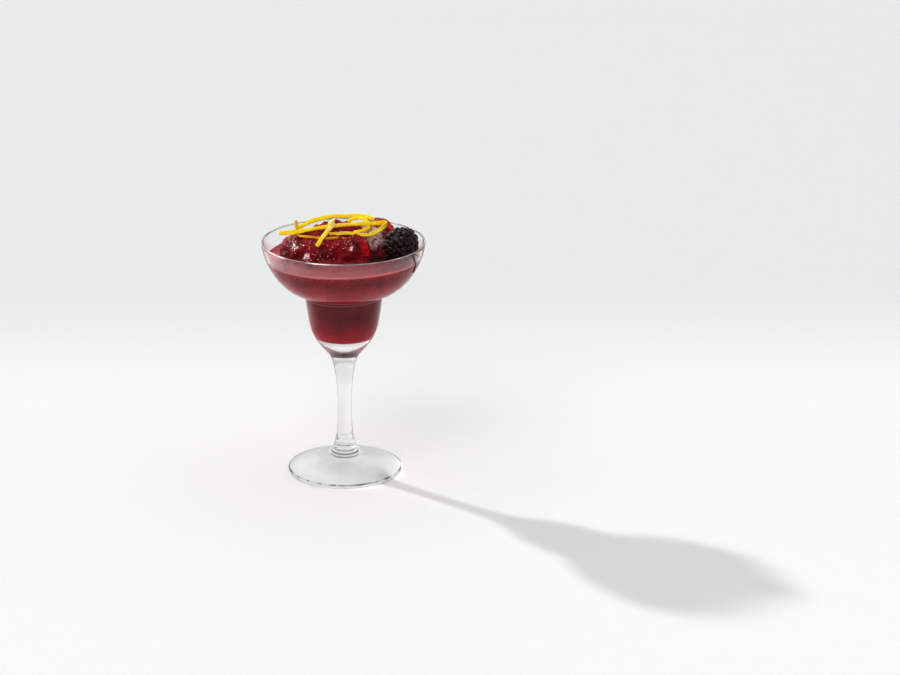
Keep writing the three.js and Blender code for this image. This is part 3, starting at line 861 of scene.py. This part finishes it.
# The bright crystals and the frost give off a painted glow.
ICE_FINISHES = [
    ("ice_glint", (0.34, 0.006, 0.016),
     {"Roughness": 0.2, "Specular_IOR_Level": 0.15, "Coat_Weight": 0.35, "Coat_Roughness": 0.08}),
    ("crystal_painted_glint", (0.97, 0.90, 0.91), {"Roughness": 0.15, "Specular_IOR_Level": 0.8,
                                         "Emission_Color": (1.0, 0.93, 0.94, 1), "Emission_Strength": 0.45}),
    ("frost", (0.95, 0.80, 0.83), {"Roughness": 0.3, "Specular_IOR_Level": 0.5,
                                   "Emission_Color": (1.0, 0.75, 0.78, 1), "Emission_Strength": 0.07}),
]
for (name, *scatters), (finish_name, tone, sockets) in zip(ICE, ICE_FINISHES):
    piece = copies(name, shard_model, [spot for settings in scatters for spot in scatter(*settings)])
    look = Finish(finish_name, tone, **sockets)
    look.give("Base Color", look.clouded(700, 2, tone, tuple(0.8 * c + 0.06 for c in tone), 0.6, 0.75))
    piece.data.materials.append(look.material)
    belongs(piece, "slush")

# %% [markdown]
# ## The berry
# A ripe bramble is a cluster of little round drupelets in rings about a pale core, each one taut and shiny.
# One drupelet is modelled: a sphere with its outer end pressed in a little. Copies of it are then set in
# rings on an egg shape, each ring turned against the last, as they grow.

# %% One drupelet
DIMPLE_START = 0.47
DIMPLE_DEPTH = 0.035

alone()
bpy.ops.mesh.primitive_uv_sphere_add(segments=20, ring_count=14, radius=0.5)
drupelet = bpy.context.object
bpy.ops.object.mode_set(mode="EDIT")
bpy.ops.mesh.select_all(action="DESELECT")
bpy.ops.object.mode_set(mode="OBJECT")
for vertex in drupelet.data.vertices:
    vertex.select = vertex.co.z > DIMPLE_START
bpy.ops.object.mode_set(mode="EDIT")
bpy.ops.transform.translate(value=(0, 0, -DIMPLE_DEPTH), use_proportional_edit=True, proportional_size=0.1,
                            proportional_edit_falloff="SMOOTH")
bpy.ops.object.mode_set(mode="OBJECT")
bead_model = model_of(drupelet)

# %% Rings of drupelets
draw = random.Random(7)
BERRY_CENTRE = Vector((39.3, -8, 166.9))
BERRY_HALF = Vector((10.0, 10.4, 11.2))
BERRY_TIP = Vector((-0.7, -0.45, -0.55)).normalized()
SMALLEST, LARGEST = 3.3, 4.7
RING_STEP = 0.40
CROWDING = 0.94
STALK_END = pi - 0.25
UP = Vector((0, 0, 1))
upright = UP.rotation_difference(BERRY_TIP)


def on_berry(out, share):
    """A point in a direction of the berry's own frame, at a share of its radius, in millimetres."""
    return upright @ Vector(a * b for a, b in zip(out, BERRY_HALF)) * share + BERRY_CENTRE


beads, tops = [], []
polar, ring = 0.0, 0
while polar < STALK_END:
    size = SMALLEST + (LARGEST - SMALLEST) * min(1, polar / 2.0)
    polar += RING_STEP * size / BERRY_HALF.x
    count = max(1, round(2 * pi * BERRY_HALF.x * sin(polar) / (size * CROWDING)))
    for i in range(count):
        around = 2 * pi * (i + 0.5 * (ring % 2) + draw.uniform(-0.12, 0.12)) / count
        tilt = polar + draw.uniform(-0.05, 0.05)
        out = Vector((sin(tilt) * cos(around), sin(tilt) * sin(around), cos(tilt)))
        grown = size * draw.uniform(0.98, 1.3)
        middle = on_berry(out, draw.uniform(0.88, 0.98))
        lean = UP.rotation_difference(upright @ (out + Vector([draw.uniform(-0.12, 0.12)] * 3)))
        axes = [lean @ Vector(axis) * grown for axis in ((1, 0, 0), (0, 1, 0), (0, 0, 0.98))]
        beads.append((axes, middle))
        tops.append((middle + lean @ Vector((0, 0, 0.45 * grown)), lean @ UP))
    polar += RING_STEP * size / BERRY_HALF.x
    ring += 1
berry = copies("bramble", bead_model, beads)
smooth(berry)

# %% [markdown]
# The skin is nearly black with a red cast that shows in patches, and its shine is a thin hard coat over a
# softer one. A few dry hairs are left between the drupelets, and the shard serves for these too, drawn out
# very thin.

# %% Berry finish
berry_skin = Finish("berry_skin", (0.012, 0.004, 0.007), Roughness=0.3, Coat_Weight=0.35, Coat_Roughness=0.05,
                    Specular_IOR_Level=0.3)
berry_tones = ((0.020, 0.007, 0.008), (0.085, 0.030, 0.030))
berry_skin.give("Base Color", berry_skin.clouded(260, 3, *berry_tones, 0.45, 0.75))
berry.data.materials.append(berry_skin.material)
belongs(berry, "berry", "berry")

# %% Dry hairs left from the flower
HAIRS = 90
HAIR_WIDTH = 0.09

places = []
for middle, out in draw.choices(tops, k=HAIRS):
    lean = (out + Vector([draw.gauss(0, 0.6) for _ in range(3)])).normalized()
    side = lean.orthogonal().normalized()
    length = draw.uniform(1.2, 2.6)
    axes = (side * HAIR_WIDTH, lean.cross(side) * HAIR_WIDTH, lean * length)
    places.append((axes, middle + lean * length * 0.3))
hairs = copies("bramble_hairs", shard_model, places)
dry_hair = Finish("dry_hair", (0.16, 0.09, 0.06), Roughness=0.6)
dry_hair.give("Base Color", dry_hair.clouded(600, 2, (0.10, 0.05, 0.03), (0.34, 0.24, 0.18), 0, 1))
hairs.data.materials.append(dry_hair.material)
belongs(hairs, "berry")

# %% [markdown]
# ## Strips of lemon zest
# A channel knife takes strips about 3 mm wide and 1 mm thick: pebbled yellow skin on one side, paler pith
# on the other. The thin strip that runs under the others is painted a deeper orange for the shade it lies
# in, and yellow higher up, and the short one across the middle pales to cream where it turns over. All are
# made from the same finish with other tones. All but the deep one have a little painted glow, for the light
# that thin peel lets through from behind.

# %% Zest finishes
PEEL = {"Roughness": 0.4, "Specular_IOR_Level": 0.25, "Subsurface_Weight": 0.35, "Subsurface_Scale": 0.0015}
YELLOWS = ((0.97, 0.66, 0.010), (0.97, 0.80, 0.03), (0.92, 0.50, 0.006))
ORANGES = ((0.80, 0.36, 0.004), (0.90, 0.50, 0.008), (0.60, 0.20, 0.003))
PITH = ((0.97, 0.80, 0.14), (0.96, 0.74, 0.05), (0.93, 0.62, 0.03))


def peel_finish(name, tones, upper=None, **sockets):
    """Two tones in patches, and pores of a third; the body may turn into one more between two heights."""
    look = Finish(name, tones[0], **sockets)
    body = look.clouded(260, 4, tones[0], tones[1])
    if upper:
        tone, low, high = upper
        body = look.mixed(look.along("Z", low, high), body, tone)
    pores = look.add("ShaderNodeTexVoronoi", look.place, Scale=1100).outputs["Distance"]
    look.give("Base Color", look.mixed(look.spread(pores, 0.15, 0.5, 0.6, 0), body, tones[2]))
    look.bumped(pores, 0.6, 0.3)
    return look.material


# The skin, the cross strip and the pith get a painted glow; the deep strip's orange below 175 mm is painted
# shade.
zest_skin = peel_finish("zest_skin", YELLOWS, Subsurface_Radius=(1.0, 0.6, 0.1),
                        Emission_Color=(1.0, 0.72, 0.01, 1), Emission_Strength=0.16, **PEEL)
zest_deep = peel_finish("zest_deep", ORANGES, ((0.96, 0.68, 0.012), 175.2, 177.5),
                        Subsurface_Radius=(1.0, 0.6, 0.1), **PEEL)
zest_fading = peel_finish("zest_fading", YELLOWS, ((0.96, 0.79, 0.34), 175.5, 181.2),
                          Subsurface_Radius=(1.0, 0.7, 0.3), Emission_Color=(1.0, 0.74, 0.2, 1),
                          Emission_Strength=0.1, **PEEL)
zest_pith = peel_finish("zest_pith", PITH, Roughness=0.6, Specular_IOR_Level=0.2, Subsurface_Weight=0.4,
                        Subsurface_Scale=0.0015, Subsurface_Radius=(1.0, 0.7, 0.2),
                        Emission_Color=(1.0, 0.72, 0.02, 1), Emission_Strength=0.14)
PEEL_SIDES = {"peel_tail": (zest_deep, zest_deep), "peel_cross": (zest_fading, zest_fading)}
USUAL_SIDES = (zest_skin, zest_pith)
print("strips with sides of their own:", sorted(PEEL_SIDES))

# %% [markdown]
# Each strip is a flat grid laid along the path that the CAD solid follows, so it lies in the same place.
# The grid turns about the path where the strip does, is a little crowned, and has ragged edges from the
# knife. Solidify gives it its thickness and the pith its own material, and fine relief goes on at the end.

# %% Laying a flat grid along a path
ZEST_THICKNESS = 0.8
FACING = Vector((0, -0.5, 0.87))
CROWN = 0.18
RAGGED = 0.28
ACROSS = 6
A_LITTLE = 0.004
ZEST_RELIEF = [("CLOUDS", 0.9, 0.4), ("VORONOI", 0.8, -0.4)]


def on_path(track, share):
    """A point of a centripetal Catmull-Rom curve through the track, as the CAD model draws it."""
    ends = [track[0] * 2 - track[1], *track, track[-1] * 2 - track[-2]]
    knot = min(max(share, 0), 1) * (len(track) - 1)
    i = min(int(knot), len(track) - 2)
    t = knot - i
    p0, p1, p2, p3 = ends[i:i + 4]
    d0, d1, d2 = ((b - a).length ** 0.5 for a, b in ((p0, p1), (p1, p2), (p2, p3)))
    m1 = ((p1 - p0) / d0 - (p2 - p0) / (d0 + d1) + (p2 - p1) / d1) * d1
    m2 = ((p2 - p1) / d1 - (p3 - p1) / (d1 + d2) + (p3 - p2) / d2) * d1
    return p1 + m1 * t + (-3 * p1 + 3 * p2 - 2 * m1 - m2) * t ** 2 + (2 * p1 - 2 * p2 + m1 + m2) * t ** 3


def strip(name, track, width, steps, seed):
    """A strip through points of x, y and z, some of which also have a turn in degrees and a width."""
    path = [Vector(point[:3]) for point in track]
    turns = [point[3] if len(point) > 3 else 0 for point in track]
    widths = [point[4] if len(point) > 4 else width for point in track]
    alone()
    bpy.ops.mesh.primitive_grid_add(x_subdivisions=ACROSS, y_subdivisions=steps, size=1)
    piece = bpy.context.object
    piece.name = name
    for vertex in piece.data.vertices:
        across, share = vertex.co.x, vertex.co.y + 0.5
        along = (on_path(path, share + A_LITTLE) - on_path(path, share - A_LITTLE)).normalized()
        roll, breadth = (float(np.interp(share * (len(path) - 1), range(len(path)), values))
                         for values in (turns, widths))
        flat = Quaternion(along, radians(roll)) @ (FACING - along * FACING.dot(along)).normalized()
        from_end = min(share, 1 - share) * steps * 0.35
        chance = noise.noise(Vector((share * steps * 0.5, 3 * (across > 0), seed)))
        breadth *= min(1, 0.78 + 0.25 * from_end) * (1 + RAGGED * chance)
        rise = CROWN * (1 - 4 * across * across)
        vertex.co = (on_path(path, share) + along.cross(flat) * across * breadth + flat * rise) * MM
    for material in PEEL_SIDES.get(name, USUAL_SIDES):
        piece.data.materials.append(material)
    apply(piece, "SOLIDIFY", thickness=ZEST_THICKNESS * MM, offset=0, use_even_offset=True, material_offset=1,
          material_offset_rim=1)
    apply(piece, "SUBSURF", levels=1, render_levels=1)
    for kind, size, depth in ZEST_RELIEF:
        roughen(piece, kind, size, depth)
    smooth(piece)
    return piece


# %% The five strips
# Width in millimetres, steps along the strip, and its track.
ZEST = {
    "zest_long": (3.3, 140, [
        (-44, -11, 176.5, 0, 3.6), (-35, -9, 176.5, 0, 4.6), (-25.5, -6, 177), (-16, -3, 178),
        (-5.5, 0, 178.5), (4.5, 3, 178.5), (15, 6, 178), (23, 8.5, 177.5, 10), (28.5, 10.5, 177.5, 70),
        (30, 8.5, 177, 90),
        (27.5, 6, 175.5, 130), (24, 4, 173.5, 180), (19.5, 2.5, 171.5, 180), (14.5, 1, 171.5, 180),
        (8.5, 0, 172.5, 180), (2.5, -1, 173.5, 180), (-3.5, -2, 173.5, 180), (-10, -3, 173.5, 180)]),
    "zest_arch": (3.2, 70, [
        (-31, 0.5, 175.5), (-30, 1.5, 177), (-26.5, 5, 178), (-21.5, 10, 179, 0, 3.7),
        (-15.5, 14, 179.5, 0, 3.8), (-7, 18, 180, 0, 3.4), (2, 20, 179.5), (9.5, 19.5, 180),
        (15, 17.5, 180), (18.5, 15, 179.5), (21, 13, 178.5)]),
    "zest_tail": (2.2, 60, [
        (-32.5, -2, 183), (-32, -3, 180.3), (-31.6, -4.2, 177.5), (-31.2, -5.6, 175), (-30, -9.5, 174.3),
        (-27.5, -13, 174.8), (-24, -15, 175), (-20.5, -16, 174.9), (-17.5, -16.5, 174.5), (-13, -17, 174.4),
        (-8.5, -17, 174.5), (-3.5, -15.5, 174.5)]),
    "zest_cross": (3.2, 50, [
        (-18, -27.3, 171.7), (-15, -22, 175.4), (-12, -12, 176.5), (-8.5, -5.5, 179.3, 0, 3.6),
        (-6.5, -1, 181, 60, 4), (-6.6, 2, 181.4, 140), (-8.5, 4.5, 180, 180), (-10.5, 6, 178, 180)]),
    "zest_curl": (2.7, 56, [
        (3, 13, 177.5), (5.5, 14.8, 178.5), (10, 15, 179.5), (14.2, 13, 179.3), (17, 10.2, 177.7),
        (17.5, 6.5, 175.2), (15.5, 5, 174.2), (12, 4.2, 173.4), (7, 3.2, 172.8)]),
}
for seed, (node, (width, steps, track)) in enumerate(ZEST.items()):
    belongs(strip(node.replace("zest", "peel"), track, width, steps, seed), "zest", node)

# %% [markdown]
# ## A drip of juice
# Below the berry some juice has run over the lip: a smear along it and one drop that runs down the outside
# of the bowl. Both are bevelled curves on the outer wall, half sunk in the glass, turned into meshes and
# softened.

# %% Smear and drip
SINK = 0.15
TRICKLE_VOXEL = 0.16
# Each track has azimuth in degrees, height in millimetres and a share of the thickness.
SMEAR = [(-38.5, 167.0, 0.3), (-37.5, 166.9, 0.7), (-35, 166.7, 1), (-32.4, 166.3, 1.1), (-29.3, 165.5, 0.9),
         (-25.4, 163.9, 0.6), (-19.4, 161.2, 0.3)]
DRIP = [(-32.3, 166.0, 0.6), (-32.0, 164.2, 0.9), (-29.7, 162.0, 0.8), (-25.9, 158.6, 0.85),
        (-24.4, 155.6, 0.9), (-24.2, 153.2, 1.1), (-24.1, 151.8, 1.1), (-24.1, 151.2, 0.8)]
bowl_outside = cup_outline[-BOWL_STEPS - 1:]


def trickle(name, track, thick):
    """A run of liquid along a track on the outside of the bowl."""
    alone()
    bpy.ops.curve.primitive_nurbs_path_add()
    run = bpy.context.object
    run.name = name
    curve = run.data
    curve.splines.clear()
    line = curve.splines.new("NURBS")
    line.points.add(len(track) - 1)
    line.use_endpoint_u = True
    line.order_u = 4
    for point, (azimuth, height, share) in zip(line.points, track):
        radius = radius_at(height, bowl_outside) - SINK * thick
        a = radians(azimuth)
        point.co = (radius * cos(a) * MM, radius * sin(a) * MM, height * MM, 1)
        point.radius = share
    curve.resolution_u = 10
    curve.bevel_depth = thick * MM
    curve.bevel_resolution = 4
    curve.use_fill_caps = True
    alone(run)
    bpy.ops.object.convert(target="MESH")
    run = bpy.context.object
    apply(run, "REMESH", mode="VOXEL", voxel_size=TRICKLE_VOXEL * MM)
    apply(run, "SMOOTH", factor=0.5, iterations=6)
    smooth(run)
    return run


juice = Finish("dark_juice", (0.10, 0.002, 0.006), Roughness=0.12, Coat_Weight=0.4, Specular_IOR_Level=0.4)
juice.give("Base Color", juice.clouded(500, 2, (0.09, 0.002, 0.005), (0.2, 0.005, 0.012), 0.4, 0.7))
for name, track, thick in (("juice_smear", SMEAR, 0.55), ("juice_drip", DRIP, 0.8)):
    piece = trickle(name, track, thick)
    piece.data.materials.append(juice.material)
    belongs(piece, "drink")
